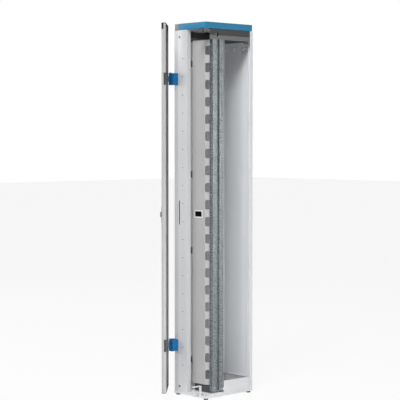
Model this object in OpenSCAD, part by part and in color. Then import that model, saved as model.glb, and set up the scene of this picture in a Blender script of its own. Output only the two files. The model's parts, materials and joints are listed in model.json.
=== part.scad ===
// Vertical cable-management column: an open-sided 19-inch bay corner with a slotted
// cable panel, a punched mounting rail and a hinged cover door.
// +X is to the right, +Y to the rear and +Z up.
// The origin is the middle of the floor-bolt pattern on the underside of the base tray.

/* [Column] */
// Height of the mounting rail in rack units
units = 42; // [30:1:47]
// Width over the side panel
body_w = 242; // [236:1:300]
// Depth from the post face to the back panel
body_d = 342; // [320:1:500]
// Thickness of the folded steel sheet
sheet = 2; // [1.5:0.1:2.5]
// Angle at which the door stands open
door_open = 45; // [0:1:90]

/* [Base] */
// Height of the base tray
tray_h = 12; // [10:1:20]
// Height of the raised floor plate on the tray
floor_h = 8; // [5:1:12]
// Height of the cross member under the cable panel
cross_h = 40; // [30:1:60]
// Height of the side and rear base beams
base_beam_h = 64; // [50:1:80]
// Width of the cable entry in the floor
entry_w = 96; // [60:1:110]
// Depth of the cable entry in the floor
entry_d = 130; // [80:1:140]
// Spacing of the floor bolts across the column
bolt_x = 190; // [170:1:200]
// Spacing of the floor bolts from front to rear
bolt_y = 290; // [270:1:300]
// Diameter of the floor-bolt holes
bolt_d = 11; // [9:0.5:14]

/* [Post and side panel] */
// Width of the side panel's front return
side_return = 30; // [24:1:36]
// Width of the front post's face
post_w = 70; // [60:1:74]
// Depth of the front post's inner return
post_return = 25; // [20:1:30]
// Pitch of the holes in the post
post_pitch = 94.6; // [80:0.1:110]
// Diameter of the holes in the post
post_hole_d = 7; // [4:0.5:9]
// Length of the slit in the post
slit_len = 128; // [80:1:160]
// Width of the slit in the post
slit_w = 8; // [5:0.5:10]

/* [Cable panel] */
// Distance of the cable panel behind the post's face
panel_set = 50; // [45:1:60]
// Width of the flat of the cable panel
panel_w = 96; // [90:1:110]
// Length of the cable fingers
finger_len = 24; // [18:1:26]
// Angle of the fingers to the flat of the panel
finger_angle = 40; // [20:1:45]
// Height of each cable slot
slot_h = 49; // [40:1:60]
// Radius of the inner corners of a slot
slot_r = 8; // [4:0.5:12]
// Rack units from one cable slot to the next
slot_units = 2; // [2:1:4]
// Width of the rectangular cut-out
cut_w = 50; // [40:1:60]
// Height of the rectangular cut-out
cut_h = 28; // [20:1:40]
// Margin of the bezel round the cut-out
bezel_rim = 6; // [4:0.5:10]

/* [Mounting rail] */
// Width of the rail's front flange
flange_w = 22.5; // [20:0.5:26]
// Depth of the rail's front web
web_d = 28; // [24:1:34]
// Width of the groove along the rail
groove_w = 21; // [14:1:24]
// Depth of the groove along the rail
groove_d = 9; // [6:0.5:12]
// Width of the rail's rear strip
strip_d = 28; // [24:1:34]
// Side of the square mounting holes
square_d = 9.5; // [9:0.1:10]
// Diameter of the round holes in the rear strip
round_d = 6.5; // [5:0.5:7]

/* [Top] */
// Height of the roof trim
roof_h = 34; // [28:1:40]
// Height of the top beams
beam_h = 55; // [45:1:70]
// Height of the lower lip of the top beams
lip_h = 23; // [16:1:28]
// Width of the grey cap at the roof's corner
corner_w = 35; // [32:1:50]

/* [Door] */
// Thickness of the door
door_t = 24; // [20:1:30]
// Thickness of the door's sheet
door_sheet = 1.5; // [1.2:0.1:2]
// Gap between the door and the hinge blocks
door_gap = 1; // [0.8:0.1:2]
// Height of a hinge block
hinge_h = 62; // [50:1:80]
// Radius of the hinge knuckle
knuckle_r = 8; // [7:0.5:9]
// Diameter of the hinge pin
pin_d = 6; // [5:0.5:8]
// Radial clearance of the hinge pin
pin_clear = 0.05; // [0.02:0.01:0.1]
// Travel of the two latch rods
rod_travel = 14; // [10:1:16]

/* [Hidden] */

$fn = 32;
unit = 44.45;                         // one rack unit
unit_holes = [6.35, 22.225, 38.1];    // hole centres within a unit
hair = 0.01;                          // overshoot of a cut past its face

left = -side_return;
right = body_w - side_return;
rear = body_d;

deck = tray_h + floor_h;              // top of the floor plate
rail_z = tray_h + 18;                 // underside of the rail
rail_h = units * unit;
roof_z = rail_z + rail_h + 14;        // underside of the roof
body_h = roof_z + roof_h;
beam_z = roof_z - beam_h;

panel_z = deck + cross_h;             // the cable panel stands on the cross member
panel_h = beam_z - panel_z;
panel_x = post_w - 12.5;
panel_y = panel_set;
bend_x = panel_x + panel_w;
tip_x = bend_x + finger_len * cos(finger_angle);
tip_y = panel_y + finger_len * sin(finger_angle);
slot_pitch = slot_units * unit;
slot_n = floor((panel_h - slot_h) / slot_pitch) + 1;
slot_z = panel_z + (panel_h - (slot_n - 1) * slot_pitch) / 2;
mid_z = panel_z + panel_h / 2;        // middle of the panel and of the post

rail_x = right - sheet;               // outer face of the rail's web
rail_y = panel_y;
groove_y = rail_y + web_d;
strip_y = groove_y + groove_w;
rail_end_y = strip_y + strip_d;

hinge_x = left;
hinge_y = -side_return + 2;
hinge_zs = [deck + 237, roof_z - 254];
door_in = hinge_y - knuckle_r - door_gap;
door_out = door_in - door_t;
door_left = hinge_x + 2;
door_right = right;
door_z = deck + 22;
door_top = body_h - 13;
door_h = door_top - door_z;
latch_x = right - 34;
rod_y = (door_in + door_out) / 2 + 2;
rod_off = 10;                         // the rods lie this far to either side of the spindle
rod_d = 8;
crank_r = rod_travel / (2 * sin(45));
latch_z = mid_z;

module set_out() {
    translate([side_return - body_w / 2, -body_d / 2, 0]) children();
}

module in_door() {
    set_out()
        translate([hinge_x, hinge_y, 0])
            rotate([0, 0, -door_open])
                translate([-hinge_x, -hinge_y, 0])
                    children();
}

// a box from its lowest to its highest corner
module block(a, b) {
    translate(a) cube([b[0] - a[0], b[1] - a[1], b[2] - a[2]]);
}

// a folded sheet seen from above: the line runs through the middle of the sheet
module fold_line(points, t) {
    for (i = [0 : len(points) - 2]) {
        p = points[i];
        q = points[i + 1];
        d = q - p;
        translate(p)
            rotate(atan2(d[1], d[0]))
                translate([0, -t / 2]) square([norm(d), t]);
    }
    for (i = [1 : 1 : len(points) - 2]) translate(points[i]) circle(d = t);
}

module folded(points, t, z, h) {
    translate([0, 0, z]) linear_extrude(h) fold_line(points, t);
}

// a round cut along Y, centred on a face
module bore_y(x, y, z, d, l) {
    translate([x, y, z]) rotate([90, 0, 0]) cylinder(d = d, h = l, center = true);
}

module bore_x(x, y, z, d, l) {
    translate([x, y, z]) rotate([0, 90, 0]) cylinder(d = d, h = l, center = true);
}

module along_y(y0, y1) {
    translate([0, y1, 0]) rotate([90, 0, 0]) linear_extrude(y1 - y0) children();
}

module along_x(x0, x1) {
    translate([x0, 0, 0]) rotate([90, 0, 90]) linear_extrude(x1 - x0) children();
}

// a rectangle with round corners, made of true arcs
module round_rect(a, b, r) {
    translate([a[0] + r, a[1]]) square([b[0] - a[0] - 2 * r, b[1] - a[1]]);
    translate([a[0], a[1] + r]) square([b[0] - a[0], b[1] - a[1] - 2 * r]);
    for (x = [a[0] + r, b[0] - r], y = [a[1] + r, b[1] - r]) translate([x, y]) circle(r);
}

// Base ---------------------------------------------------------------------

foot_in = 15;                         // from the tray's edges to a foot's axis
foot_d = 8;
foot_clear = 0.05;
foot_gap = 0.3;
tray_flange = 42;                     // turned-in flange under the tray

function foot_at(i) = [
    (i % 2 == 0 ? -1 : 1) * (body_w / 2 - foot_in),
    (i < 2 ? -1 : 1) * (body_d / 2 - foot_in)
];

module base_tray() color("white") difference() {
    translate([-body_w / 2, -body_d / 2, 0]) cube([body_w, body_d, tray_h]);
    translate([-body_w / 2 + sheet, -body_d / 2 + sheet, sheet])
        cube([body_w - 2 * sheet, body_d - 2 * sheet, tray_h - 2 * sheet]);
    translate([-body_w / 2 + tray_flange, -body_d / 2 + tray_flange, -hair])
        cube([body_w - 2 * tray_flange, body_d - 2 * tray_flange, sheet + 2 * hair]);
    translate([entry_x - entry_w / 2, entry_y - entry_d / 2, 0])
        cube([entry_w, entry_d, tray_h + hair]);
    for (x = [-1, 1], y = [-1, 1])
        translate([x * bolt_x / 2, y * bolt_y / 2, -hair]) cylinder(d = bolt_d, h = tray_h + 2 * hair);
    for (i = [0 : 3])
        translate(concat(foot_at(i), -hair)) cylinder(d = foot_d + 2 * foot_clear, h = sheet + 2 * hair);
}
entry_x = 0;
entry_y = body_d / 2 - 60 - entry_d / 2;

module foot(i) color("dimgray") translate(foot_at(i)) {
    pad_h = 4;
    nut_h = 3.5;
    translate([0, 0, -foot_gap - nut_h - pad_h]) cylinder(r1 = 13, r2 = 10, h = pad_h);
    translate([0, 0, -foot_gap - nut_h]) cylinder(d = 15, h = nut_h, $fn = 6);
    translate([0, 0, -foot_gap - nut_h]) cylinder(d = foot_d, h = nut_h + foot_gap + tray_h - sheet - 1);
}

// floor plate behind the post, with a lip turned down all round
module floor_plate() color("whitesmoke") set_out() difference() {
    block([sheet, post_return + 3, tray_h], [rail_x, rail_end_y + 6, deck]);
    block([2 * sheet, post_return + 3 + sheet, tray_h - hair], [rail_x - sheet, rail_end_y + 6 - sheet, deck - sheet]);
}

module beam_profile(edge, z0, z1, step) {
    fold_line([[edge - 15, z0 + sheet / 2], [edge - sheet / 2, z0 + sheet / 2],
        [edge - sheet / 2, step], [edge - 1.5 * sheet, step + sheet], [edge - 1.5 * sheet, z1 - sheet / 2],
        [edge - 15, z1 - sheet / 2]], sheet);
}

base_beam_z1 = tray_h + base_beam_h;
base_step = tray_h + 27;
beam_end = rear - 22;

module base_beam_right() color("lightgray") set_out()
    along_y(rail_end_y + 6 + hair, beam_end) beam_profile(right, tray_h, base_beam_z1, base_step);

module base_beam_left() color("lightgray") set_out()
    along_y(post_flange + 4, rear - 34)
        mirror([1, 0]) beam_profile(-left - sheet, tray_h, base_beam_z1, base_step);

module base_beam_rear() color("lightgray") set_out()
    along_x(left + 34, right - 26)
        beam_profile(rear - sheet, tray_h, base_beam_z1, base_step);

// dark channel that carries the foot of the cable panel
module cross_member() color([0.22, 0.23, 0.24]) set_out() difference() {
    along_x(post_w + 4, rail_x - flange_w - 4)
        fold_line([[cross_y + 20, deck + sheet / 2], [cross_y + sheet / 2, deck + sheet / 2],
            [cross_y + sheet / 2, panel_z - sheet / 2], [cross_y + 20, panel_z - sheet / 2]], sheet);
    bore_y(post_w + 16, cross_y, deck + cross_h * 0.4, 9, 12);
}
cross_y = panel_set + 4;

// Posts and panels -----------------------------------------------------------

post_flange = 60;                     // depth of the post's hidden flange
post_n = floor((roof_z - tray_h - 150) / post_pitch);
post_hole_x = post_w / 2;
slit_x = 10;

module front_post() color([0.93, 0.93, 0.92]) set_out() difference() {
    folded([[sheet / 2, post_flange], [sheet / 2, sheet / 2], [post_w - sheet / 2, sheet / 2],
        [post_w - sheet / 2, post_return]], sheet, tray_h, roof_z - tray_h);
    for (i = [0 : post_n - 1])
        bore_y(post_hole_x, 0, mid_z + (i - (post_n - 1) / 2) * post_pitch, post_hole_d, 3 * sheet);
    block([slit_x - slit_w / 2, -hair, mid_z - slit_len / 2 + slit_w / 2],
        [slit_x + slit_w / 2, sheet + hair, mid_z + slit_len / 2 - slit_w / 2]);
    for (s = [-1, 1]) bore_y(slit_x, 0, mid_z + s * (slit_len - slit_w) / 2, slit_w, 3 * sheet);
}

module side_panel() color([0.80, 0.81, 0.82]) set_out()
    folded([[-seam, 1.5 * sheet], [left + sheet / 2, 1.5 * sheet], [left + sheet / 2, rear - sheet]],
        sheet, tray_h, roof_z - tray_h);
seam = 0.2;

module rear_post_left() color([0.85, 0.86, 0.87]) set_out()
    folded([[left + 1.5 * sheet, rear - 32], [left + 1.5 * sheet, rear - 1.5 * sheet],
        [left + 32, rear - 1.5 * sheet], [left + 32, rear - 12]], sheet, tray_h, roof_z - tray_h);

module rear_post_right() color([0.75, 0.76, 0.77]) set_out()
    folded([[right - sheet / 2, rear - 20], [right - sheet / 2, rear - 1.5 * sheet],
        [right - 24, rear - 1.5 * sheet], [right - 24, rear - 12]], sheet, tray_h, roof_z - tray_h);

vent_w = 35;
vent_h = 21;
vent_z = roof_z - 92;
vent_pitch = 73;

module back_panel() color([0.80, 0.81, 0.82]) set_out() difference() {
    block([left, rear - sheet, tray_h], [right, rear, roof_z]);
    for (v = [0, 1, -1], i = [0 : 5])
        block([vent_x + v * vent_pitch + (i - 2.5) * 6 - 1.6, rear - 2 * sheet, vent_z - vent_h / 2],
            [vent_x + v * vent_pitch + (i - 2.5) * 6 + 1.6, rear + sheet, vent_z + vent_h / 2]);
    block([oblong_x - 11, rear - 2 * sheet, oblong_z - 6], [oblong_x + 11, rear + sheet, oblong_z + 6]);
    for (s = [-1, 1]) bore_y(oblong_x + 11 * s, rear, oblong_z, 12, 6 * sheet);
}
vent_x = 79;
oblong_x = 11;
oblong_z = roof_z - 37;

// Top ------------------------------------------------------------------------

beam_y = 30;                          // the right beam starts this far behind the post face
lip_step = 0.8;

module top_beam_right() color([0.45, 0.45, 0.45]) set_out() difference() {
    union() {
        block([right - sheet, beam_y, beam_z], [right, beam_end, beam_z + lip_h]);
        block([right - sheet, beam_y, beam_z + lip_h - hair], [right - lip_step, beam_end, roof_z - sheet]);
        block([right - 16, beam_y, roof_z - sheet - hair], [right, beam_end, roof_z]);
    }
    block([right - 2 * sheet, peep_y - peep / 2, peep_z - peep / 2],
        [right + hair, peep_y + peep / 2, peep_z + peep / 2]);
}
peep = 18;
peep_y = 81;
peep_z = beam_z + 25;

module top_beam_left() color("lightgray") set_out()
    along_y(post_flange + 4, rear - 34)
        fold_line([[left + 1.5 * sheet, beam_z], [left + 1.5 * sheet, roof_z - sheet / 2],
            [left + 20, roof_z - sheet / 2]], sheet);

module top_beam_rear() color("lightgray") set_out()
    along_x(left + 34, right - 26)
        fold_line([[rear - 1.5 * sheet, beam_z], [rear - 1.5 * sheet, roof_z - sheet / 2],
            [rear - 20, roof_z - sheet / 2]], sheet);

trim_w = 12;
trim_r = 10;

module roof_ring(inset) {
    difference() {
        round_rect([left, 0], [right, rear], trim_r);
        translate([left + inset, inset]) square([body_w - 2 * inset, body_d - 2 * inset]);
    }
}

module roof_trim() color([0.07, 0.48, 0.68]) set_out() difference() {
    translate([0, 0, roof_z]) linear_extrude(roof_h) roof_ring(trim_w);
    block([left - 1, -1, roof_z - 1], [left + corner_w, corner_w, body_h + 1]);
}

module roof_corner_cap() color([0.5, 0.5, 0.5]) set_out() intersection() {
    translate([0, 0, roof_z]) linear_extrude(roof_h - 1) roof_ring(trim_w);
    block([left, 0, roof_z], [left + corner_w - seam, corner_w - seam, body_h]);
}

module roof_plate() color([0.82, 0.83, 0.84]) set_out() difference() {
    block([left + trim_w, trim_w, roof_z], [right - trim_w, rear - trim_w, body_h - 4]);
    block([left + trim_w + sheet, trim_w + sheet, roof_z - hair],
        [right - trim_w - sheet, rear - trim_w - sheet, body_h - 4 - sheet]);
    translate([side_return_mid - entry_w / 2, rear - 60 - entry_d, body_h - 20]) cube([entry_w, entry_d, 30]);
}
side_return_mid = (left + right) / 2;

// Cable panel ------------------------------------------------------------------

cut_x = panel_x + 46;
cut_z = mid_z - 6;

module slot_cutter() {
    rotate([90, 0, 0]) linear_extrude(6 * sheet, center = true) {
        translate([slot_r, -slot_h / 2]) square([finger_len + 5, slot_h]);
        translate([0, slot_r - slot_h / 2]) square([slot_r + hair, slot_h - 2 * slot_r]);
        for (s = [-1, 1]) translate([slot_r, s * (slot_h / 2 - slot_r)]) circle(slot_r);
    }
}

module cable_panel() color([0.78, 0.78, 0.79]) set_out() difference() {
    folded([[panel_x, panel_y + sheet / 2], [bend_x, panel_y + sheet / 2],
        [tip_x, tip_y + sheet / 2]], sheet, panel_z, panel_h);
    for (i = [0 : slot_n - 1])
        translate([bend_x, panel_y + sheet / 2, slot_z + i * slot_pitch])
            rotate([0, 0, finger_angle]) slot_cutter();
    block([cut_x - cut_w / 2, panel_y - 1, cut_z - cut_h / 2],
        [cut_x + cut_w / 2, panel_y + sheet + 1, cut_z + cut_h / 2]);
}

module panel_bezel() color([0.9, 0.9, 0.9]) set_out() difference() {
    block([cut_x - cut_w / 2 - bezel_rim, panel_y - 1.5, cut_z - cut_h / 2 - bezel_rim],
        [cut_x + cut_w / 2 + bezel_rim, panel_y, cut_z + cut_h / 2 + bezel_rim]);
    block([cut_x - cut_w / 2, panel_y - 3, cut_z - cut_h / 2],
        [cut_x + cut_w / 2, panel_y + 1, cut_z + cut_h / 2]);
}

module panel_blank() color("black") set_out() {
    block([cut_x - cut_w / 2 + seam, panel_y, cut_z - cut_h / 2 + seam],
        [cut_x + cut_w / 2 - seam, panel_y + sheet + hair, cut_z + cut_h / 2 - seam]);
    block([cut_x - cut_w / 2 - 5, panel_y + sheet, cut_z - cut_h / 2 - 5],
        [cut_x + cut_w / 2 + 5, panel_y + sheet + 2, cut_z + cut_h / 2 + 5]);
}

bracket_h = 34;
bracket_zs = [panel_z + 120, mid_z - 200, mid_z + 200, panel_z + panel_h - 120];
bracket_end = panel_x + 36;

module panel_brackets() color("gray") set_out() for (z = bracket_zs) difference() {
    folded([[1.5 * sheet, 24], [1.5 * sheet, panel_y + 1.5 * sheet], [bracket_end, panel_y + 1.5 * sheet]],
        sheet, z - bracket_h / 2, bracket_h);
    for (x = [panel_x + 12, bracket_end - 8]) bore_y(x, panel_y + sheet, z, 5, 3 * sheet);
}

// Mounting rail ----------------------------------------------------------------

hole_x = rail_x - 11;
group_pitch = 93;
group_step = 15.5;
group_n = floor((rail_h - 2 * group_step) / group_pitch);
group_y = rail_y + 8.5;
strip_hole_y = strip_y + strip_d / 2;

module mounting_rail() color([0.55, 0.58, 0.60]) set_out() difference() {
    folded([[rail_x - flange_w, rail_y + sheet / 2], [rail_x - sheet / 2, rail_y + sheet / 2],
        [rail_x - sheet / 2, groove_y - sheet / 2], [rail_x - sheet / 2 - groove_d, groove_y - sheet / 2],
        [rail_x - sheet / 2 - groove_d, strip_y + sheet / 2], [rail_x - sheet / 2, strip_y + sheet / 2],
        [rail_x - sheet / 2, rail_end_y]], sheet, rail_z, rail_h);
    for (u = [0 : units - 1], h = unit_holes) {
        z = rail_z + u * unit + h;
        block([hole_x - square_d / 2, rail_y - 1, z - square_d / 2],
            [hole_x + square_d / 2, rail_y + sheet + 1, z + square_d / 2]);
        bore_x(rail_x, strip_hole_y, z, round_d, 3 * sheet);
    }
    for (g = [0 : group_n - 1], k = [-1, 0, 1])
        bore_x(rail_x, group_y, rail_z + (rail_h - (group_n - 1) * group_pitch) / 2 + g * group_pitch
            + k * group_step, 5.5, 3 * sheet);
}

// angle that stands the rail on the floor plate
module rail_foot() color([0.7, 0.75, 0.77]) set_out()
    along_y(rail_y + 3, groove_y - sheet - seam)
        fold_line([[rail_x - flange_w - 3, deck + sheet / 2], [rail_x - 1.5 * sheet, deck + sheet / 2],
            [rail_x - 1.5 * sheet, deck + 60]], sheet);

screw_h = 1.8;
module rail_screws() color([0.6, 0.65, 0.68]) set_out() {
    for (p = [[group_y + 6, deck + 29], [strip_hole_y + 6, deck + 20]])
        translate([rail_x, p[0], p[1]]) rotate([0, 90, 0]) cylinder(d = 9, h = screw_h, $fn = 6);
}

module post_screws() color([0.4, 0.4, 0.4]) set_out()
    for (z = [deck + 21, roof_z - 36]) difference() {
        bore_y(12, -screw_h / 2, z, 9, screw_h);
        translate([12, -screw_h, z]) rotate([0, 45, 0]) cube([11, 1.8, 1.8], center = true);
    }

module panel_screws() color([0.4, 0.4, 0.4]) set_out()
    for (z = bracket_zs, x = [panel_x + 12, bracket_end - 8]) {
        bore_y(x, panel_y + 2 * sheet + screw_h / 2, z, 8, screw_h);
        bore_y(x, panel_y + 1.5 * sheet + hair, z, 4.9, sheet + 2 * hair);
    }

// Keepers and hinges -----------------------------------------------------------

keeper_w = 16;
keeper_top_z = roof_z - 24;
keeper_low_z = door_z + 17;
keeper_t = 3;
rod_clear = 1;
rod_gap = 3;                          // between a drawn-in rod and its keeper

module keeper(x, z0, z1, arm_z) difference() {
    union() {
        block([x - keeper_w / 2, 0, z0], [x + keeper_w / 2, keeper_t, z1]);
        block([x - keeper_w / 2, rod_y - 9, arm_z], [x + keeper_w / 2, hair, arm_z + keeper_t]);
    }
    translate([x, rod_y, arm_z - 1]) cylinder(d = rod_d + 2 * rod_clear, h = keeper_t + 2);
}

module keeper_top() color([0.2, 0.2, 0.2]) set_out()
    keeper(latch_x + rod_off, keeper_top_z, roof_z, keeper_top_z);

module keeper_bottom() color("whitesmoke") set_out()
    keeper(latch_x - rod_off, tray_h, keeper_low_z + keeper_t, keeper_low_z);

gap_h = hinge_h / 2;                  // free height between a block's ears
ear_clear = 0.4;
web_x = hinge_x + 13;
block_back = sheet;

module ear_plan() {
    translate([hinge_x, hinge_y]) circle(knuckle_r);
    translate([hinge_x - knuckle_r, hinge_y]) square([knuckle_r - hinge_x, block_back - hinge_y]);
    translate([hinge_x, hinge_y - knuckle_r]) square([-hinge_x - 6, knuckle_r + hair]);
    translate([-6, hinge_y - knuckle_r + 6]) circle(6);
    translate([-6 - hair, hinge_y - knuckle_r + 6]) square([6 + hair, 6]);
}

module hinge_block(z) color([0.05, 0.42, 0.66]) set_out() difference() {
    intersection() {
        translate([0, 0, z - hinge_h / 2]) linear_extrude(hinge_h) ear_plan();
        along_y(door_in - 1, block_back)
            round_rect([hinge_x - 4 * knuckle_r, z - hinge_h / 2], [0, z + hinge_h / 2], 9);
    }
    block([hinge_x - knuckle_r - 1, door_in - 1, z - gap_h / 2], [web_x, -6, z + gap_h / 2]);
    translate([hinge_x, hinge_y, z - hinge_h]) cylinder(d = pin_d + 2 * pin_clear, h = 2 * hinge_h);
}
module hinge_block_upper() hinge_block(hinge_zs[1]);
module hinge_block_lower() hinge_block(hinge_zs[0]);

leaf_t = 2.5;
module hinge_leaf(z) color([0.05, 0.36, 0.58]) in_door() difference() {
    union() {
        translate([hinge_x, hinge_y, z - gap_h / 2 + ear_clear])
            cylinder(r = knuckle_r - 0.5, h = gap_h - 2 * ear_clear);
        block([hinge_x - 1, door_in - door_sheet - leaf_t, z - gap_h / 2 + ear_clear],
            [hinge_x + 9, hinge_y, z + gap_h / 2 - ear_clear]);
        block([door_left + door_sheet, door_in - door_sheet - leaf_t, z - hinge_h / 2],
            [door_left + 24, door_in - door_sheet, z + hinge_h / 2]);
    }
    translate([hinge_x, hinge_y, z - hinge_h]) cylinder(d = pin_d + 2 * pin_clear, h = 2 * hinge_h);
}
module hinge_leaf_upper() hinge_leaf(hinge_zs[1]);
module hinge_leaf_lower() hinge_leaf(hinge_zs[0]);

module hinge_pin(z) color("silver") set_out() {
    translate([hinge_x, hinge_y, z - hinge_h / 2 - 2]) cylinder(d = pin_d, h = hinge_h + 2 + foot_gap + hair);
    translate([hinge_x, hinge_y, z + hinge_h / 2 + foot_gap]) cylinder(d = pin_d + 5, h = 3.5);
}
module hinge_pin_upper() hinge_pin(hinge_zs[1]);
module hinge_pin_lower() hinge_pin(hinge_zs[0]);

// Door -------------------------------------------------------------------------

nose_r = door_t / 2;
nose_x = door_right - nose_r;
nose_y = (door_in + door_out) / 2;
cap_t = 4;
shoe_h = 28;
plug_h = 62;
plug_zs = [hinge_zs[0] + 31, hinge_zs[1] - 8];

module nose_ring(r, t) difference() {
    circle(r);
    circle(r - t);
    translate([-2 * r, -r - 1]) square([2 * r, 2 * r + 2]);
}

flange_in = 26;                       // width of the door's flange on the hinge side

module door_plan() difference() {
    door_outline();
    translate([door_left + door_sheet, door_out + door_sheet])
        square([nose_x - door_left - door_sheet, door_t - 2 * door_sheet]);
    translate([nose_x, nose_y]) circle(nose_r - door_sheet);
    translate([door_left + flange_in, nose_y]) square([nose_x - 3 - door_left - flange_in, door_t]);
}

module door_outline() {
    translate([door_left, door_out]) square([nose_x - door_left, door_t]);
    translate([nose_x, nose_y]) circle(nose_r);
}

module door_shell() color([0.90, 0.90, 0.91]) in_door() difference() {
    translate([0, 0, door_z + cap_t]) linear_extrude(door_h - 2 * cap_t) door_plan();
    for (z = hinge_zs)
        block([door_left - 1, door_in - door_sheet - leaf_t - seam, z - gap_h / 2 - 1],
            [door_left + 13, door_in + 1, z + gap_h / 2 + 1]);
    block([nose_x, door_out - 1, door_top - cap_t - shoe_h], [door_right + 1, nose_y, door_top]);
    for (z = plug_zs)
        block([nose_x, nose_y, z - plug_h / 2], [door_right + 1, door_in + 1, z + plug_h / 2]);
    translate([latch_x, door_out, latch_z]) rotate([90, 0, 0])
        cylinder(d = spindle_d + 1, h = 4 * door_sheet, center = true);
}

module door_cap_top() color([0.1, 0.1, 0.1]) in_door() {
    translate([0, 0, door_top - cap_t]) linear_extrude(cap_t) door_outline();
    intersection() {
        translate([nose_x, nose_y, door_top - cap_t - shoe_h + seam])
            linear_extrude(shoe_h - seam + hair) nose_ring(nose_r, door_sheet);
        block([nose_x, door_out - 1, door_top - 100], [door_right + 1, nose_y - seam, door_top]);
    }
}

module door_cap_bottom() color([0.75, 0.75, 0.76]) in_door()
    translate([0, 0, door_z]) linear_extrude(cap_t) door_outline();

module door_plugs() color([0.3, 0.3, 0.3]) in_door() for (z = plug_zs) intersection() {
    translate([nose_x, nose_y, z - plug_h / 2 + seam])
        linear_extrude(plug_h - 2 * seam) nose_ring(nose_r + 0.5, door_sheet + 0.5);
    block([nose_x, nose_y + seam, z - plug_h], [door_right + 1, door_in + 1, z + plug_h]);
}

hat_foot = 26;                        // half-width of a rib over its feet
hat_base = 14;
hat_top = 9;
hat_h = 9;

module hat_plan() difference() {
    t = door_sheet;
    polygon([[0, -hat_foot], [t, -hat_foot], [t, -hat_base], [hat_h, -hat_top],
        [hat_h, hat_top], [t, hat_base], [t, hat_foot], [0, hat_foot]]);
    polygon([[-hair, t - hat_base], [hat_h - t, t - hat_top], [hat_h - t, hat_top - t], [-hair, hat_base - t]]);
}

// hat-section ribs across the inside of the skin
module door_stiffeners() color([0.85, 0.85, 0.86]) in_door()
    for (s = [0.14, 0.38, 0.62, 0.86])
        along_x(door_left + 2 * door_sheet, latch_x - rod_off - 9)
            translate([door_out + door_sheet, door_z + s * door_h]) hat_plan();

spindle_d = 10;
cam_y = door_out + 4;
eye_h = 14;
eye_t = 3;
crank_pin_d = 5;
guide_clear = 0.3;
upper_guides = [latch_z + 90, keeper_top_z - 60];
lower_guides = [latch_z - 90, keeper_low_z + 60];

module rod_guides() color([0.25, 0.25, 0.25]) in_door() {
    for (z = upper_guides) guide(latch_x + rod_off, z);
    for (z = lower_guides) guide(latch_x - rod_off, z);
}

module guide(x, z) difference() {
    block([x - 8, door_out + door_sheet, z - 6], [x + 8, rod_y + 7, z + 6]);
    translate([x, rod_y, z - 8]) cylinder(d = rod_d + 2 * guide_clear, h = 16);
}

// plate on the door's outer face, under the latch knob
module latch_plate() color([0.2, 0.2, 0.2]) in_door() difference() {
    along_y(door_out - 1.5, door_out) round_rect([latch_x - 18, latch_z - 42], [latch_x + 18, latch_z + 42], 8);
    bore_y(latch_x, door_out, latch_z, spindle_d + 1, 8);
}

module latch_handle() color([0.15, 0.15, 0.15]) in_door() {
    difference() {
        translate([latch_x, door_out - 1.8, latch_z]) rotate([90, 0, 0]) cylinder(r1 = 15, r2 = 13, h = 5);
        translate([latch_x, door_out - 7, latch_z]) cube([4, 5, 40], center = true);
    }
    translate([latch_x, cam_y + 3, latch_z]) rotate([90, 0, 0])
        cylinder(d = spindle_d, h = cam_y + 3 - (door_out - 1.8));
    translate([latch_x, cam_y + 3, latch_z]) rotate([90, 0, 0]) cylinder(r = crank_r + 4.5, h = 3);
    for (s = [-1, 1])
        translate([latch_x - s * crank_r * cos(45), rod_y + eye_t, latch_z + s * crank_r * sin(45)])
            rotate([90, 0, 0]) cylinder(d = crank_pin_d, h = rod_y + eye_t - cam_y - 2);
}

// a rod with a slotted eye that a crank pin drives; s is 1 for the upper rod
module latch_rod(s, tip) {
    x = latch_x + s * rod_off;
    pin_z = latch_z - s * crank_r * sin(45);
    base = pin_z + s * (eye_h / 2 - hair);
    difference() {
        block([x - 8, rod_y - eye_t / 2, pin_z - eye_h / 2], [x + 8, rod_y + eye_t / 2, pin_z + eye_h / 2]);
        block([latch_x + s * (crank_r * 0.707 + (crank_r * 0.293) / 2) - 4.6, rod_y - 3, pin_z - crank_pin_d / 2 - 0.5],
            [latch_x + s * (crank_r * 0.707 + (crank_r * 0.293) / 2) + 4.6, rod_y + 3, pin_z + crank_pin_d / 2 + 0.5]);
    }
    translate([x, rod_y, min(base, tip)]) cylinder(d = rod_d, h = abs(tip - base));
}

module latch_rod_upper() color("silver") in_door() latch_rod(1, keeper_top_z - rod_gap);
module latch_rod_lower() color("silver") in_door() latch_rod(-1, keeper_low_z + keeper_t + rod_gap);

module foot_front_left() foot(0);
module foot_front_right() foot(1);
module foot_rear_left() foot(2);
module foot_rear_right() foot(3);

// Earth lead ---------------------------------------------------------------------

stud_a = [right - sheet, rear - 80, beam_z + 9];
stud_b = [right - 34, rear - sheet, roof_z - 62];
lead_d = 5;
lead_points = [
    [-5, 0, 0], [-8, 0, 0], [-13, 3, -1], [-17, 10, -2], [-19, 20, -4], [-20, 32, -10],
    [-22, 44, -17], [-25, 53, -20], [-29, 61, -19], [-32, 67, -16], [-32, 73, -16]
];

module earth_studs() color([0.75, 0.68, 0.4]) set_out() {
    translate(stud_a) rotate([0, -90, 0]) cylinder(d = 8, h = 5, $fn = 6);
    translate(stud_b) rotate([90, 0, 0]) cylinder(d = 8, h = 5, $fn = 6);
}

// tube along a route: each ring stands across the route at its point
function tangent(p, i) =
    let (a = p[max(i - 1, 0)], b = p[min(i + 1, len(p) - 1)], d = b - a) d / norm(d);
function ring(c, t, r, n) =
    let (u0 = cross(t, [0, 0, 1]), u = u0 / norm(u0), v = cross(t, u))
    [for (k = [0 : n - 1]) c + r * (cos(360 * k / n) * u + sin(360 * k / n) * v)];

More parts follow.
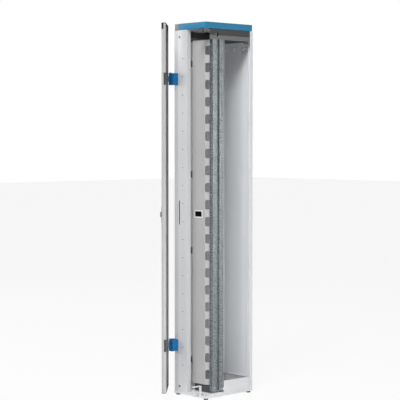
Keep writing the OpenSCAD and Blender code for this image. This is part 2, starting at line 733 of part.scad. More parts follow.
module tube(p, d, n = 8) {
    m = len(p);
    points = [for (i = [0 : m - 1]) each ring(p[i], tangent(p, i), d / 2, n)];
    walls = [for (i = [0 : m - 2], k = [0 : n - 1])
        [i * n + k, i * n + (k + 1) % n, (i + 1) * n + (k + 1) % n, (i + 1) * n + k]];
    polyhedron(points, concat([[for (k = [n - 1 : -1 : 0]) k]], walls,
        [[for (k = [0 : n - 1]) (m - 1) * n + k]]));
}

module earth_lead() color([0.05, 0.05, 0.05]) set_out()
    translate(stud_a) tube(lead_points, lead_d);

base_tray();
floor_plate();
base_beam_right();
base_beam_left();
base_beam_rear();
cross_member();
front_post();
rear_post_left();
rear_post_right();
side_panel();
back_panel();
top_beam_right();
top_beam_left();
top_beam_rear();
roof_plate();
roof_trim();
roof_corner_cap();
cable_panel();
panel_bezel();
panel_blank();
panel_brackets();
mounting_rail();
rail_foot();
keeper_top();
keeper_bottom();
hinge_block_upper();
hinge_block_lower();
post_screws();
rail_screws();
panel_screws();
earth_studs();
earth_lead();
door_shell();
door_cap_top();
door_cap_bottom();
hinge_leaf_upper();
hinge_leaf_lower();
door_plugs();
door_stiffeners();
rod_guides();
latch_plate();
hinge_pin_upper();
hinge_pin_lower();
latch_handle();
latch_rod_upper();
latch_rod_lower();
foot_front_left();
foot_front_right();
foot_rear_left();
foot_rear_right();
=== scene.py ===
"""Dresses the vertical cable-management column: finishes, moulded and formed pieces, studio and camera."""

import json
import logging
import math
from dataclasses import dataclass
from enum import Enum

import bpy
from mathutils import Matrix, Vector

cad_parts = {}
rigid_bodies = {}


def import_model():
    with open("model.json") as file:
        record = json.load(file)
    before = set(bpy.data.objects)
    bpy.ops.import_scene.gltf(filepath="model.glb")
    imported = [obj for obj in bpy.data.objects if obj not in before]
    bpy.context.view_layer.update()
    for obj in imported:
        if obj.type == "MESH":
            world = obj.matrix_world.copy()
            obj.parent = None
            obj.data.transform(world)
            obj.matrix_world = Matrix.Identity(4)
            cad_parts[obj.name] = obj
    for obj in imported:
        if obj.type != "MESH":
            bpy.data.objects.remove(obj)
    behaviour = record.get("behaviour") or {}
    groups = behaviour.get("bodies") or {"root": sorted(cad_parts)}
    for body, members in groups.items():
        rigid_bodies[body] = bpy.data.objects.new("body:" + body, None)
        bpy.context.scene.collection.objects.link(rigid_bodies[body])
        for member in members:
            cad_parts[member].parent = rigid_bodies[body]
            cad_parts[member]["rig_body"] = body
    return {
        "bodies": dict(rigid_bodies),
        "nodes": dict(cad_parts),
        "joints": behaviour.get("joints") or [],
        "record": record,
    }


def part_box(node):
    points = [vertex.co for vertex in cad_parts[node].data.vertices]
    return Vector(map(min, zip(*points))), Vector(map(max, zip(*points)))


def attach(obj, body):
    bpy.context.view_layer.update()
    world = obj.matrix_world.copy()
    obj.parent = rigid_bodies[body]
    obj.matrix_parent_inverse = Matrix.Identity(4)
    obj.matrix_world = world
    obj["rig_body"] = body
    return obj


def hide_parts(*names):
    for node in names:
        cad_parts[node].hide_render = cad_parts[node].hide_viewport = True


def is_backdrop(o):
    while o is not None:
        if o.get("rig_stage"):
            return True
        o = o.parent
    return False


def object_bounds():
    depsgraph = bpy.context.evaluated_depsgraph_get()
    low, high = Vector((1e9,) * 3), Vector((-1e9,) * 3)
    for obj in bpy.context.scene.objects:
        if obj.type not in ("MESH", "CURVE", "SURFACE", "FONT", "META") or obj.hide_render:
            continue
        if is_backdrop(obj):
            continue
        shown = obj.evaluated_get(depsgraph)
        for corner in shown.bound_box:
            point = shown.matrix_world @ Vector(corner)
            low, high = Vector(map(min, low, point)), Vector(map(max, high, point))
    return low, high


logging.basicConfig(level=logging.INFO, format="%(message)s")
LOG = logging.getLogger("cable_column")

Colour = tuple[float, float, float]
Point = tuple[float, float, float]
MM = 0.001
# height on the top beams where the painted roof shadow above meets the painted lit lip below
BEAM_SHADE_LINE = 1.8785
ENTRY_MARGIN = 0.03
ENTRY_CLEAR = 0.003


# ---------------------------------------------------------------- finishes


class Tree:
    """A material's node tree, with short calls for the nodes that the finishes share."""

    def __init__(self, name: str) -> None:
        """Starts an empty material.

        Args:
            name: the material's name.
        """
        self.material = bpy.data.materials.new(name)
        self.material.use_nodes = True
        self.nodes = self.material.node_tree.nodes
        self.links = self.material.node_tree.links
        self.shader = self.nodes["Principled BSDF"]
        self.coords = self.nodes.new("ShaderNodeTexCoord").outputs["Object"]

    def set(self, **values: object) -> None:
        """Sets the shader's sockets; an underscore stands for a space.

        Args:
            values: socket names and what they take, a number, a colour or an output socket.
        """
        for key, value in values.items():
            socket = self.shader.inputs[key.replace("_", " ")]
            if isinstance(value, bpy.types.NodeSocket):
                self.links.new(value, socket)
            elif isinstance(value, tuple):
                socket.default_value = (*value, 1.0)
            else:
                socket.default_value = value

    def stretched(self, scale: Point) -> bpy.types.NodeSocket:
        """Object coordinates scaled along each axis.

        Args:
            scale: factors along X, Y and Z.

        Returns:
            The vector output.
        """
        node = self.nodes.new("ShaderNodeMapping")
        node.inputs["Scale"].default_value = scale
        self.links.new(self.coords, node.inputs["Vector"])
        return node.outputs["Vector"]

    def noise(self, scale: float, detail: float = 3.0, along: Point = (1, 1, 1)) -> bpy.types.NodeSocket:
        """Noise in object space.

        Args:
            scale: features per metre.
            detail: octaves.
            along: stretch of the pattern.

        Returns:
            The noise value output.
        """
        node = self.nodes.new("ShaderNodeTexNoise")
        node.inputs["Scale"].default_value = scale
        node.inputs["Detail"].default_value = detail
        self.links.new(self.stretched(along), node.inputs["Vector"])
        return node.outputs["Fac"]

    def cells(self, scale: float) -> bpy.types.NodeSocket:
        """A random colour per crystal.

        Args:
            scale: crystals per metre.

        Returns:
            The colour output.
        """
        node = self.nodes.new("ShaderNodeTexVoronoi")
        node.inputs["Scale"].default_value = scale
        self.links.new(self.coords, node.inputs["Vector"])
        return node.outputs["Color"]

    def ramp(self, value: bpy.types.NodeSocket, low: float, high: float,
             first: Colour, last: Colour) -> bpy.types.NodeSocket:
        """Turns a value into a colour between two ends.

        Args:
            value: the value.
            low: value of the first colour.
            high: value of the last colour.
            first: colour at low.
            last: colour at high.

        Returns:
            The colour output.
        """
        node = self.nodes.new("ShaderNodeValToRGB")
        for element, place, colour in zip(node.color_ramp.elements, (low, high), (first, last)):
            element.position = place
            element.color = (*colour, 1.0)
        self.links.new(value, node.inputs["Fac"])
        return node.outputs["Color"]

    def remap(self, value: bpy.types.NodeSocket, low: float, high: float) -> bpy.types.NodeSocket:
        """Spreads a 0 to 1 value over another range.

        Args:
            value: the value.
            low: result at 0.
            high: result at 1.

        Returns:
            The value output.
        """
        node = self.nodes.new("ShaderNodeMapRange")
        node.inputs["To Min"].default_value = low
        node.inputs["To Max"].default_value = high
        self.links.new(value, node.inputs["Value"])
        return node.outputs["Result"]

    def bump(self, value: bpy.types.NodeSocket, height: float, strength: float = 1.0) -> None:
        """Gives the surface a bump.

        Args:
            value: the height field.
            height: its depth in metres.
            strength: how much of it shows.
        """
        node = self.nodes.new("ShaderNodeBump")
        node.inputs["Strength"].default_value = strength
        node.inputs["Distance"].default_value = height
        self.links.new(value, node.inputs["Height"])
        self.links.new(node.outputs["Normal"], self.shader.inputs["Normal"])


def shade(colour: Colour, factor: float) -> Colour:
    """A colour made lighter or darker."""
    return tuple(min(1.0, c * factor) for c in colour)


@dataclass(frozen=True)
class PowderCoat:
    """Baked powder paint on sheet steel: fine orange peel and a faint cloudiness."""

    name: str
    colour: Colour
    roughness: float = 0.42
    peel: float = 0.00006

    def material(self) -> bpy.types.Material:
        """Builds the material."""
        tree = Tree(self.name)
        cloud = tree.noise(2.2, 4.0)
        tree.set(Base_Color=tree.ramp(cloud, 0.3, 0.7, shade(self.colour, 0.965), shade(self.colour, 1.02)),
                 Roughness=tree.remap(tree.noise(14.0), self.roughness - 0.06, self.roughness + 0.06),
                 Specular_IOR_Level=0.5)
        tree.bump(tree.noise(650.0, 2.0), self.peel, 0.5)
        return tree.material


@dataclass(frozen=True)
class Galvanised:
    """Hot-dip zinc with crystal spangle and drawn streaks along the rail."""

    name: str
    colour: Colour
    roughness: float = 0.45
    crystals: float = 130.0

    def material(self) -> bpy.types.Material:
        """Builds the material."""
        tree = Tree(self.name)
        spangle = tree.nodes.new("ShaderNodeSeparateColor")
        tree.links.new(tree.cells(self.crystals), spangle.inputs["Color"])
        grain = tree.nodes.new("ShaderNodeMath")
        grain.operation = "MULTIPLY_ADD"
        tree.links.new(spangle.outputs["Red"], grain.inputs[0])
        grain.inputs[1].default_value = 0.55
        tree.links.new(tree.remap(tree.noise(60.0, 3.0, (1, 1, 0.06)), 0.0, 0.5), grain.inputs[2])
        tree.set(Base_Color=tree.ramp(grain.outputs["Value"], 0.2, 0.85, shade(self.colour, 0.72),
                                      shade(self.colour, 1.28)),
                 Roughness=tree.remap(spangle.outputs["Green"], self.roughness - 0.12, self.roughness + 0.1),
                 Metallic=0.75)
        tree.bump(grain.outputs["Value"], 0.00004, 0.5)
        return tree.material


@dataclass(frozen=True)
class Moulding:
    """Injection-moulded plastic with a fine spark-eroded grain."""

    name: str
    colour: Colour
    roughness: float = 0.38
    grain: float = 0.00003

    def material(self) -> bpy.types.Material:
        """Builds the material."""
        tree = Tree(self.name)
        tree.set(Base_Color=tree.ramp(tree.noise(25.0, 3.0), 0.3, 0.7, shade(self.colour, 0.9),
                                      shade(self.colour, 1.06)),
                 Roughness=tree.remap(tree.noise(60.0), self.roughness - 0.07, self.roughness + 0.07))
        tree.bump(tree.noise(1400.0, 2.0), self.grain, 0.6)
        return tree.material


@dataclass(frozen=True)
class DrawnMetal:
    """Plated or drawn metal with streaks along one axis."""

    name: str
    colour: Colour
    roughness: float = 0.3
    along: Point = (1.0, 1.0, 0.05)

    def material(self) -> bpy.types.Material:
        """Builds the material."""
        tree = Tree(self.name)
        streak = tree.noise(420.0, 4.0, self.along)
        tree.set(Base_Color=tree.ramp(streak, 0.25, 0.75, shade(self.colour, 0.82), shade(self.colour, 1.12)),
                 Roughness=tree.remap(streak, self.roughness - 0.08, self.roughness + 0.12), Metallic=1.0)
        tree.bump(streak, 0.00002, 0.4)
        return tree.material


@dataclass(frozen=True)
class BlackHole:
    """Near-black textured surface that swallows nearly all light: on the panel's blank it is black plastic
    made darker than plastic is, painting the shade of an open cut-out, and on the sheet inside the post it
    paints the shade behind the post's holes.
    """

    name: str
    colour: Colour = (0.003, 0.003, 0.003)

    def material(self) -> bpy.types.Material:
        """Builds the material."""
        tree = Tree(self.name)
        tree.set(Base_Color=tree.ramp(tree.noise(180.0), 0.3, 0.7, self.colour, shade(self.colour, 2.0)),
                 Roughness=0.95, Specular_IOR_Level=0.05)
        tree.bump(tree.noise(1500.0), 0.00004, 0.6)
        return tree.material


@dataclass(frozen=True)
class PaintedBeamShade:
    """Painted shade on a beam: a dark coat above a height paints the roof's shadow on it, and a paler coat
    below it paints a lit rolled lip.
    """

    name: str
    upper: Colour
    lower: Colour
    height: float
    soften: float = 0.001

    def material(self) -> bpy.types.Material:
        """Builds the material."""
        tree = Tree(self.name)
        split = tree.nodes.new("ShaderNodeSeparateXYZ")
        tree.links.new(tree.coords, split.inputs["Vector"])
        level = tree.nodes.new("ShaderNodeMapRange")
        level.inputs["From Min"].default_value = self.height - self.soften
        level.inputs["From Max"].default_value = self.height + self.soften
        tree.links.new(split.outputs["Z"], level.inputs["Value"])
        # the upper colour paints the roof's shadow and the lower colour paints a lit lip
        tree.set(Base_Color=tree.ramp(level.outputs["Result"], 0.0, 1.0, self.lower, self.upper),
                 Roughness=tree.remap(tree.noise(14.0), 0.42, 0.56))
        tree.bump(tree.noise(650.0, 2.0), 0.00006, 0.5)
        return tree.material


class Look(Enum):
    """Every finish on the column."""

    WHITE = PowderCoat("white_powder", (0.74, 0.75, 0.76))
    POST = PowderCoat("post_powder", (0.67, 0.675, 0.685), 0.4)
    BAND = PowderCoat("band_powder", (0.58, 0.585, 0.595))
    GREY = PowderCoat("grey_powder", (0.74, 0.765, 0.785), 0.5)
    PANEL = PowderCoat("panel_powder", (0.50, 0.495, 0.50), 0.5)
    # painted shade: the top beams are dark above the split height, painting the roof's shadow on them, and
    # paler below, painting a lit lip
    BEAM = PaintedBeamShade("beam_painted_shade", (0.045, 0.045, 0.046), (0.16, 0.16, 0.165), BEAM_SHADE_LINE)
    DARK = PowderCoat("dark_powder", (0.06, 0.062, 0.066), 0.5)
    DOOR = PowderCoat("door_powder", (0.50, 0.495, 0.50), 0.42)
    BLUE_PAINT = PowderCoat("blue_trim_paint", (0.008, 0.20, 0.385), 0.5)
    BLUE_CAST = Moulding("blue_hinge_moulding", (0.001, 0.165, 0.43), 0.5)
    CORNER = Moulding("grey_corner_moulding", (0.22, 0.215, 0.22))
    BLACK = Moulding("black_moulding", (0.012, 0.012, 0.013), 0.45)
    # the blank in the panel's cut-out: black plastic, made near-black to paint the shade of an open hole
    HOLE = BlackHole("blank_black_and_hole_shade")
    # painted shade: a near-black sheet inside the post, dark behind its holes and slit
    FOAM = BlackHole("post_hole_shade_paint", (0.012, 0.012, 0.013))
    BEZEL = Moulding("bezel_moulding", (0.86, 0.86, 0.86), 0.35)
    RUBBER = Moulding("foot_rubber", (0.02, 0.02, 0.021), 0.65)
    ZINC_RAIL = Galvanised("galvanised_rail", (0.255, 0.28, 0.29))
    ZINC = DrawnMetal("bright_zinc", (0.62, 0.63, 0.65))
    SCREW = DrawnMetal("dull_zinc", (0.30, 0.31, 0.32), 0.4)
    ROD = DrawnMetal("drawn_rod", (0.55, 0.56, 0.57), 0.28)
    BRASS = DrawnMetal("plain_brass", (0.70, 0.50, 0.22), 0.3)


NODE_LOOKS: dict[str, Look] = {
    "base_tray": Look.WHITE, "floor_plate": Look.WHITE, "base_beam_right": Look.WHITE,
    "base_beam_left": Look.WHITE, "base_beam_rear": Look.WHITE, "cross_member": Look.DARK,
    "front_post": Look.POST, "rear_post_left": Look.GREY, "rear_post_right": Look.GREY,
    "side_panel": Look.BAND, "back_panel": Look.GREY, "top_beam_right": Look.BEAM,
    "top_beam_left": Look.BEAM, "top_beam_rear": Look.BEAM, "roof_plate": Look.GREY,
    "roof_trim": Look.BLUE_PAINT, "roof_corner_cap": Look.CORNER, "cable_panel": Look.PANEL,
    "panel_bezel": Look.BEZEL, "panel_blank": Look.HOLE, "panel_brackets": Look.ZINC,
    # keeper_top takes the dark coat as painted shade under the roof, while its pair keeper_bottom is white
    "mounting_rail": Look.ZINC_RAIL, "rail_foot": Look.ZINC_RAIL, "keeper_top": Look.DARK,
    "keeper_bottom": Look.WHITE, "hinge_block_upper": Look.BLUE_CAST, "hinge_block_lower": Look.BLUE_CAST,
    "post_screws": Look.ZINC, "rail_screws": Look.ZINC, "panel_screws": Look.ZINC,
    "earth_studs": Look.BRASS, "earth_lead": Look.BLACK, "door_shell": Look.DOOR,
    "door_cap_top": Look.BLACK, "door_cap_bottom": Look.CORNER, "hinge_leaf_upper": Look.BLUE_CAST,
    "hinge_leaf_lower": Look.BLUE_CAST, "door_plugs": Look.DARK, "door_stiffeners": Look.DOOR,
    "rod_guides": Look.BLACK, "latch_plate": Look.DARK, "hinge_pin_upper": Look.ZINC,
    "hinge_pin_lower": Look.ZINC, "latch_handle": Look.DARK, "latch_rod_upper": Look.ROD,
    "latch_rod_lower": Look.ROD, "foot_front_left": Look.RUBBER, "foot_front_right": Look.RUBBER,
    "foot_rear_left": Look.RUBBER, "foot_rear_right": Look.RUBBER,
}


class Paints:
    """Builds each finish once."""

    def __init__(self) -> None:
        """Starts with no material made."""
        self._made: dict[Look, bpy.types.Material] = {}

    def get(self, look: Look) -> bpy.types.Material:
        """The material of a finish."""
        if look not in self._made:
            self._made[look] = look.value.material()
        return self._made[look]

    def dress(self, piece: bpy.types.Object, look: Look) -> None:
        """Gives a piece one finish all over."""
        piece.data.materials.clear()
        piece.data.materials.append(self.get(look))


# ---------------------------------------------------------------- pieces


def only(piece: bpy.types.Object) -> None:
    """Selects one object alone and makes it active."""
    bpy.ops.object.select_all(action="DESELECT")
    piece.select_set(True)
    bpy.context.view_layer.objects.active = piece


def settle(piece: bpy.types.Object, name: str, body: str) -> bpy.types.Object:
    """Names a finished piece, moves its place into its mesh and lets it ride.

    Args:
        piece: the piece.
        name: what it is called.
        body: the CAD body that carries it.

    Returns:
        The same piece.
    """
    only(piece)
    bpy.ops.object.transform_apply(location=True, rotation=True, scale=True)
    piece.name = name
    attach(piece, body)
    return piece


def apply_modifier(piece: bpy.types.Object, kind: str, **values: object) -> None:
    """Adds a modifier, sets it and applies it.

    Args:
        piece: the piece.
        kind: the modifier's type.
        values: its settings.
    """
    only(piece)
    modifier = piece.modifiers.new(kind.lower(), kind)
    for key, value in values.items():
        setattr(modifier, key, value)
    bpy.ops.object.modifier_apply(modifier=modifier.name)


def islands(node: bpy.types.Object) -> list[tuple[Vector, Vector]]:
    """The box of each separate solid in a CAD node.

    Args:
        node: the CAD node.

    Returns:
        Lowest and highest corners, one pair for each solid, from the lowest solid up.
    """
    mesh = node.data
    keys = [tuple(round(c, 6) for c in vertex.co) for vertex in mesh.vertices]
    group = {key: key for key in keys}

    def root(key: Point) -> Point:
        """The key that stands for a key's group."""
        while group[key] != key:
            group[key] = group[group[key]]
            key = group[key]
        return key

    for polygon in mesh.polygons:
        first = root(keys[polygon.vertices[0]])
        for index in polygon.vertices[1:]:
            group[root(keys[index])] = first
    found: dict[Point, list[Point]] = {}
    for key in set(keys):
        found.setdefault(root(key), []).append(key)
    boxes = [(Vector(min(p[i] for p in points) for i in range(3)),
              Vector(max(p[i] for p in points) for i in range(3))) for points in found.values()]
    return sorted(boxes, key=lambda pair: (round(pair[0].z, 4), pair[0].x, pair[0].y))


@dataclass
class Softener:
    """Copies of CAD solids with eased edges and smooth faces, as pressed, folded and moulded metal has."""

    frame: dict
    paints: Paints
    sharp: float = 35.0
    merge: float = 0.00002

    def copy(self, node: str, ease: float, steps: int = 2) -> bpy.types.Object:
        """Makes the softened copy of one node, which stands for it.

        Args:
            node: the CAD node.
            ease: width of the eased edge in metres.
            steps: segments across it.

        Returns:
            The copy.
        """
        source = self.frame["nodes"][node]
        piece = bpy.data.objects.new(node + "_eased", source.data.copy())
        bpy.context.scene.collection.objects.link(piece)
        only(piece)
        bpy.ops.object.mode_set(mode="EDIT")
        bpy.ops.mesh.select_all(action="SELECT")
        bpy.ops.mesh.remove_doubles(threshold=self.merge)
        bpy.ops.mesh.dissolve_limited(angle_limit=math.radians(1.0))
        bpy.ops.object.mode_set(mode="OBJECT")
        apply_modifier(piece, "BEVEL", width=ease, segments=steps, limit_method="ANGLE",
                       angle_limit=math.radians(self.sharp), use_clamp_overlap=True)
        only(piece)
        bpy.ops.object.shade_smooth_by_angle(angle=math.radians(self.sharp))
        apply_modifier(piece, "WEIGHTED_NORMAL", keep_sharp=True, weight=100)
        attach(piece, source["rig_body"])
        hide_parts(node)
        self.paints.dress(piece, NODE_LOOKS[node])
        LOG.info("%s: eased by %.1f mm, %d faces", node, ease / MM, len(piece.data.polygons))
        return piece


EASED: dict[str, tuple[float, int]] = {
    "front_post": (0.0009, 2), "side_panel": (0.0008, 2), "roof_trim": (0.0025, 3),
    "roof_corner_cap": (0.0025, 3),
    "cable_panel": (0.0007, 2), "panel_bezel": (0.0015, 3), "hinge_block_upper": (0.0035, 4),
    "hinge_block_lower": (0.0035, 4), "hinge_leaf_upper": (0.002, 3), "hinge_leaf_lower": (0.002, 3),
    "door_shell": (0.0006, 2), "door_cap_top": (0.0015, 3), "door_cap_bottom": (0.0015, 3),
    "base_tray": (0.001, 2), "floor_plate": (0.0008, 2), "base_beam_right": (0.001, 2),
    "base_beam_left": (0.001, 2), "base_beam_rear": (0.001, 2), "top_beam_right": (0.0007, 2),
    "keeper_top": (0.001, 2), "keeper_bottom": (0.001, 2), "cross_member": (0.0008, 2),
    "latch_handle": (0.0015, 3), "latch_plate": (0.001, 2), "rail_foot": (0.0006, 2),
    "panel_brackets": (0.0006, 2), "rear_post_right": (0.0006, 2), "mounting_rail": (0.0005, 2),
}


@dataclass
class SlottedScrews:
    """Pan heads with a driver slot over the post's screws."""

    frame: dict
    paints: Paints
    radius: float = 0.0062
    height: float = 0.0022
    slot_width: float = 0.0016
    slot_turns: tuple[float, ...] = (40.0, -35.0, 15.0, 70.0)

    def head(self, place: Vector, turn: float) -> bpy.types.Object:
        """Models one head that faces the front.

        Args:
            place: the middle of its seat.
            turn: how far its slot is turned, in degrees.

        Returns:
            The head.
        """
        bpy.ops.object.select_all(action="DESELECT")
        bpy.ops.mesh.primitive_cylinder_add(vertices=28, radius=self.radius, depth=self.height,
                                            location=place - Vector((0, self.height / 2, 0)),
                                            rotation=(math.radians(90), 0, 0))
        head = bpy.context.object
        apply_modifier(head, "BEVEL", width=self.height * 0.45, segments=3, limit_method="ANGLE")
        bpy.ops.object.select_all(action="DESELECT")
        bpy.ops.mesh.primitive_cube_add(size=1.0, location=place - Vector((0, self.height, 0)),
                                        rotation=(0, math.radians(turn), 0))
        cutter = bpy.context.object
        cutter.scale = (self.radius * 2.4, self.height, self.slot_width)
        apply_modifier(head, "BOOLEAN", operation="DIFFERENCE", object=cutter)
        bpy.data.objects.remove(cutter)
        only(head)
        bpy.ops.object.shade_smooth_by_angle(angle=math.radians(35))
        return head

    def build(self) -> None:
        """Puts a head on each of the post's screws."""
        for index, (low, high) in enumerate(islands(self.frame["nodes"]["post_screws"])):
            place = Vector(((low.x + high.x) / 2, low.y + self.height, (low.z + high.z) / 2))
            head = self.head(place, self.slot_turns[index % len(self.slot_turns)])
            settle(head, f"post_screw_head_{index + 1}", "frame")
            self.paints.dress(head, Look.SCREW)
            LOG.info("post_screw_head_%d", index + 1)


@dataclass
class PostShadeSheet:
    """A near-black strip just behind the post's face, painting the shade inside the hollow post that shows
    through its holes and slit.
    """

    paints: Paints
    sheet: float = 0.002
    depth: float = 0.003
    inset: float = 0.0045
    ends: float = 0.03
    gap: float = 0.0003

    def build(self) -> None:
        """Extrudes the strip and rounds its edges."""
        low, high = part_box("front_post")
        wide, tall = high.x - low.x - 2 * self.inset, high.z - low.z - 2 * self.ends
        bpy.ops.object.select_all(action="DESELECT")
        bpy.ops.mesh.primitive_plane_add(size=1.0, rotation=(math.radians(90), 0, 0), location=(
            low.x + self.inset + wide / 2, low.y + self.sheet + self.gap + self.depth, (low.z + high.z) / 2))
        strip = bpy.context.object
        strip.scale = (wide, tall, 1.0)
        bpy.ops.object.transform_apply(location=False, rotation=True, scale=True)
        bpy.ops.object.mode_set(mode="EDIT")
        bpy.ops.mesh.select_all(action="SELECT")
        bpy.ops.mesh.extrude_region_move(TRANSFORM_OT_translate={"value": (0, -self.depth, 0)})
        bpy.ops.mesh.select_all(action="SELECT")
        bpy.ops.mesh.normals_make_consistent(inside=False)
        bpy.ops.object.mode_set(mode="OBJECT")
        apply_modifier(strip, "BEVEL", width=self.depth * 0.3, segments=2)
        settle(strip, "post_hole_shade_sheet", "frame")
        self.paints.dress(strip, Look.FOAM)
        LOG.info("post_hole_shade_sheet")


@dataclass
class VentGauze:
    """Woven wire over the vents near the top of the back panel."""

    paints: Paints
    vent_width: float = 0.035
    vent_height: float = 0.021
    below_roof: float = 0.092
    first: float = 0.006
    pitch: float = 0.073
    count: int = 3
    margin: float = 0.002
    wire: float = 0.0007
    columns: int = 18
    rows: int = 11

    def build(self) -> None:
        """Models one gauze and copies it over each vent."""
        low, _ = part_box("back_panel")
        post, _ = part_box("front_post")
        roof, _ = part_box("roof_trim")
        for index in range(self.count):
            bpy.ops.object.select_all(action="DESELECT")
            bpy.ops.mesh.primitive_grid_add(
                x_subdivisions=self.columns, y_subdivisions=self.rows, size=1.0,
                rotation=(math.radians(90), 0, 0),
                location=(post.x + self.first + index * self.pitch, low.y - self.wire,
                          roof.z - self.below_roof))
            gauze = bpy.context.object
            gauze.scale = (self.vent_width + 2 * self.margin, self.vent_height + 2 * self.margin, 1.0)
            bpy.ops.object.transform_apply(location=False, rotation=True, scale=True)
            apply_modifier(gauze, "WIREFRAME", thickness=self.wire, use_even_offset=False)
            settle(gauze, f"vent_gauze_{index + 1}", "frame")
            self.paints.dress(gauze, Look.SCREW)
            LOG.info("vent_gauze_%d", index + 1)


# ---------------------------------------------------------------- studio


@dataclass(frozen=True)
class Lamp:
    """A square soft light; azimuth 0 is straight in front and 90 on the right."""

    name: str
    azimuth: float
    elevation: float
    distance: float
    size: float
    power: float
    low: bool = False


LAMPS = (
    Lamp("key_light", 32, 50, 5.0, 1.6, 215),
    Lamp("left_fill", -68, 12, 6.0, 2.8, 190),
    Lamp("low_fill", 55, 6, 1.5, 0.7, 7, low=True),
    Lamp("right_fill", 126, 4, 5.0, 2.0, 55),
)


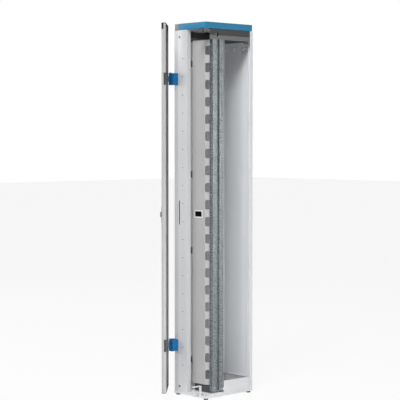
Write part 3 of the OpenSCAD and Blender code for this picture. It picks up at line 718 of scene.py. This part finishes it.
@dataclass
class Studio:
    """Floor, lamps, sky and camera."""

    azimuth: float = 46.7
    reach: float = 7.290
    aside: float = 0.1152
    eye: float = 1.344
    dip: float = 2.519
    lens: float = 124.97
    floor_size: float = 60.0
    floor_glow: float = 0.92
    sky_light: float = 0.03
    low_target: float = 0.35

    def camera(self, corner: Vector) -> None:
        """Sets the camera up before the post's front corner.

        Args:
            corner: the front left corner of the front post, at floor level.
        """
        yaw = math.radians(self.azimuth)
        forward = Vector((-math.sin(yaw), math.cos(yaw), 0.0))
        right = Vector((math.cos(yaw), math.sin(yaw), 0.0))
        place = corner + right * self.aside - forward * self.reach
        bpy.ops.object.camera_add(location=(place.x, place.y, self.eye),
                                  rotation=(math.radians(90.0 - self.dip), 0.0, yaw))
        camera = bpy.context.object
        camera.name = "photo_camera"
        camera.data.lens = self.lens
        camera.data.sensor_width = 36.0
        camera.data.clip_end = 200.0
        bpy.context.scene.camera = camera

    def lamp(self, lamp: Lamp, target: Vector) -> None:
        """Adds a lamp aimed at a point.

        Args:
            lamp: where it stands and how strong it is.
            target: the point that it faces.
        """
        turn, lift = math.radians(lamp.azimuth), math.radians(lamp.elevation)
        away = Vector((math.sin(turn) * math.cos(lift), -math.cos(turn) * math.cos(lift), math.sin(lift)))
        bpy.ops.object.light_add(type="AREA", location=target + away * lamp.distance)
        light = bpy.context.object
        light.name = lamp.name
        light.data.size = lamp.size
        light.data.energy = lamp.power
        light.rotation_euler = (-away).to_track_quat("-Z", "Y").to_euler()

    def floor(self, level: float) -> None:
        """Lays the pale floor, which keeps the column's shadow.

        Args:
            level: the floor's height.
        """
        bpy.ops.mesh.primitive_plane_add(size=self.floor_size, location=(0, 0, level))
        plane = bpy.context.object
        plane.name = "studio_floor"
        tree = Tree("pale_floor")
        tree.set(Base_Color=(0.86, 0.86, 0.86), Roughness=0.9)
        glow = tree.nodes.new("ShaderNodeEmission")
        glow.inputs["Color"].default_value = (1, 1, 1, 1)
        glow.inputs["Strength"].default_value = 1.0
        path = tree.nodes.new("ShaderNodeLightPath")
        part = tree.nodes.new("ShaderNodeMath")
        part.operation = "MULTIPLY"
        part.inputs[1].default_value = self.floor_glow
        tree.links.new(path.outputs["Is Camera Ray"], part.inputs[0])
        mix = tree.nodes.new("ShaderNodeMixShader")
        tree.links.new(part.outputs["Value"], mix.inputs["Fac"])
        tree.links.new(tree.shader.outputs["BSDF"], mix.inputs[1])
        tree.links.new(glow.outputs["Emission"], mix.inputs[2])
        tree.links.new(mix.outputs["Shader"], tree.nodes["Material Output"].inputs["Surface"])
        plane.data.materials.append(tree.material)
        plane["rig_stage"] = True

    def sky(self) -> None:
        """Plain white surroundings: full white to the eye, softer as light."""
        world = bpy.data.worlds.new("studio_sky")
        bpy.context.scene.world = world
        world.use_nodes = True
        nodes, links = world.node_tree.nodes, world.node_tree.links
        path = nodes.new("ShaderNodeLightPath")
        seen = nodes.new("ShaderNodeMath")
        seen.operation = "MAXIMUM"
        links.new(path.outputs["Is Camera Ray"], seen.inputs[0])
        links.new(path.outputs["Is Transmission Ray"], seen.inputs[1])
        level = nodes.new("ShaderNodeMapRange")
        level.inputs["To Min"].default_value = self.sky_light
        level.inputs["To Max"].default_value = 1.0
        links.new(seen.outputs["Value"], level.inputs["Value"])
        nodes["Background"].inputs["Color"].default_value = (1, 1, 1, 1)
        links.new(level.outputs["Result"], nodes["Background"].inputs["Strength"])

    def card(self, entry: tuple[Vector, Vector]) -> None:
        """Lays a card over the roof's cable entry, so that no lamp shines down through it.

        Args:
            entry: lowest and highest corners of the entry.
        """
        low, high = entry
        bpy.ops.mesh.primitive_plane_add(
            size=1.0, location=((low.x + high.x) / 2, (low.y + high.y) / 2, high.z))
        card = bpy.context.object
        card.name = "entry_card"
        card.scale = (high.x - low.x, high.y - low.y, 1.0)
        card.visible_camera = False
        card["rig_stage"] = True

    def build(self, corner: Vector, middle: Vector, level: float, entry: tuple[Vector, Vector]) -> None:
        """Sets up the whole studio.

        Args:
            corner: the post's front left corner.
            middle: the middle of the column.
            level: the floor's height.
            entry: corners of the cable entry in the roof.
        """
        self.camera(corner)
        self.floor(level)
        foot = Vector((middle.x, middle.y, level + self.low_target))
        self.sky()
        for lamp in LAMPS:
            self.lamp(lamp, foot if lamp.low else middle)
        self.card(entry)
        scene = bpy.context.scene
        scene.view_settings.view_transform = "Standard"


# ---------------------------------------------------------------- main


def roof_entry(record: dict) -> tuple[Vector, Vector]:
    """The cable entry in the roof, as the record gives it, with a margin.

    Args:
        record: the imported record.

    Returns:
        Its lowest and highest corners.
    """
    boxes = [item["box_m"] for item in record["physics"]["openings"] if item["name"] == "roof_entry"]
    low, high = (Vector(corner) for corner in boxes[0])
    margin = Vector((ENTRY_MARGIN, ENTRY_MARGIN, 0.0))
    high.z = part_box("roof_plate")[1].z + ENTRY_CLEAR
    return low - margin, high + margin


def main() -> None:
    """Loads the frame, dresses it and sets up the studio."""
    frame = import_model()
    cad_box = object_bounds()
    bpy.ops.object.select_all(action="DESELECT")
    paints = Paints()
    for name, look in NODE_LOOKS.items():
        paints.dress(frame["nodes"][name], look)
        LOG.info("%s: %s", name, look.value.name)
    softener = Softener(frame, paints)
    for name, (ease, steps) in EASED.items():
        softener.copy(name, ease, steps)
    SlottedScrews(frame, paints).build()
    PostShadeSheet(paints).build()
    VentGauze(paints).build()
    post_low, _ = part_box("front_post")
    low, high = (Vector(c) for c in cad_box)
    tray_low, tray_high = (Vector(c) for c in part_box("base_tray"))
    middle = Vector(((tray_low.x + tray_high.x) / 2, (tray_low.y + tray_high.y) / 2, (low.z + high.z) / 2))
    Studio().build(Vector((post_low[0], post_low[1], 0.0)), middle, low.z, roof_entry(frame["record"]))


if __name__ == "__main__":
    main()
